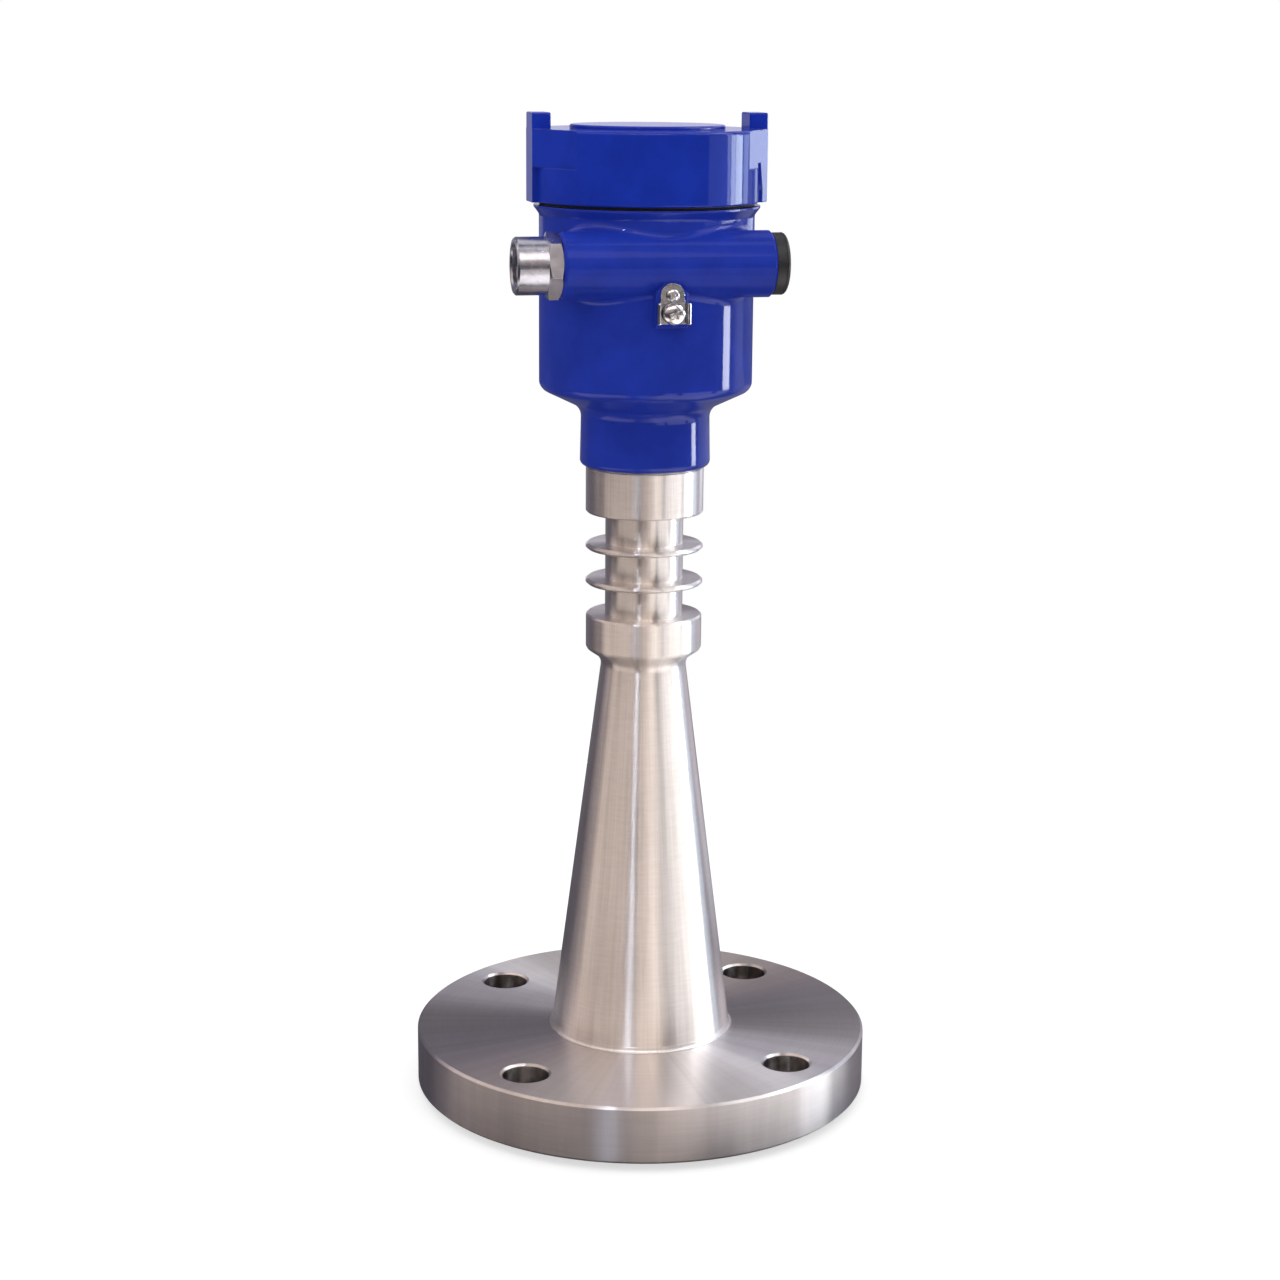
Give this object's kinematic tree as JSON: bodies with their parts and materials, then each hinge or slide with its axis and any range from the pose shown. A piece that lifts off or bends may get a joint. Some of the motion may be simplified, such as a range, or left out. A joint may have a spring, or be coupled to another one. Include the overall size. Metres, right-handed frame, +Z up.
{
  "type": "radar level transmitter",
  "caption": "Radar level transmitter: pipe flange, tapered horn antenna, finned cooling neck and a swivelling field housing with a screwed lid, cable entry and earth terminal.",
  "frame": {"origin": "centre of the sealing face under the flange, on the antenna axis, where the part rests", "axes": "+Z up along the antenna axis towards the lid; X along the cable entries, with the blanked entry at +X and the adapter at -X; the earth terminal faces -Y"},
  "size_m": [0.1904, 0.1904, 0.409],
  "materials": {
    "lens": "smooth moulded fluoropolymer",
    "flange_steel": "lathe-turned stainless steel",
    "horn_steel": "fine-turned stainless steel",
    "weld": "brushed weld bead",
    "neck_steel": "fine-turned stainless steel",
    "window": "ceramic disc",
    "brass": "drawn tube",
    "rubber": "moulded seal",
    "spring_steel": "spring steel",
    "paint": "deep blue gloss powder coat",
    "lid_paint": "deep blue gloss powder coat",
    "chrome": "nickel plated",
    "plug": "black moulded plastic",
    "plated": "zinc plated steel",
    "dark_steel": "blackened steel",
    "pot": "black moulded plastic",
    "deck_plastic": "dark grey moulded plastic",
    "board": "green solder mask",
    "spacer": "turned spacer",
    "module": "milled can",
    "block": "green moulded plastic"
  },
  "bodies": {
    "fitting": {"antenna_lens": "lens", "flange": "flange_steel", "horn": "horn_steel", "foot_weld": "weld", "cooling_neck": "neck_steel", "feed_window": "window", "waveguide": "brass", "neck_seal": "rubber", "swivel_seal": "rubber", "retaining_clip": "spring_steel"},
    "head": {"housing": "paint", "cable_adapter": "chrome", "blind_plug": "plug", "earth_plate": "plated", "earth_pin": "plated", "earth_clamp": "plated", "earth_washer": "spring_steel", "earth_screw": "plated", "swivel_lock_screw": "dark_steel", "electronics_pot": "pot", "main_board": "board", "upper_board": "board", "board_spacers": "spacer", "microwave_module": "module", "terminal_deck": "deck_plastic", "terminal_block": "block", "terminal_screws": "plated", "deck_screws": "plated", "inner_earth_screw": "plated"},
    "lid_ring": {"lid_seal": "rubber"},
    "cover": {"lid": "lid_paint"}
  },
  "joints": [
    {"name": "housing_swivel", "type": "hinge", "parent": "fitting", "child": "head", "pos_m": [0, 0, 0.27], "axis": [0, 0, 1], "range_deg": [-165, 165]},
    {"name": "lid_lift", "type": "slide", "parent": "head", "child": "lid_ring", "axis": [0, 0, 1], "range_m": [0, 0.016]},
    {"name": "lid_turn", "type": "hinge", "parent": "lid_ring", "child": "cover", "pos_m": [0, 0, 0.385], "axis": [0, 0, 1], "range_deg": [0, 2880]}
  ],
  "couplings": [
    {"joint": "lid_lift", "follows": "lid_turn", "m_per_rad": 0.000318}
  ]
}
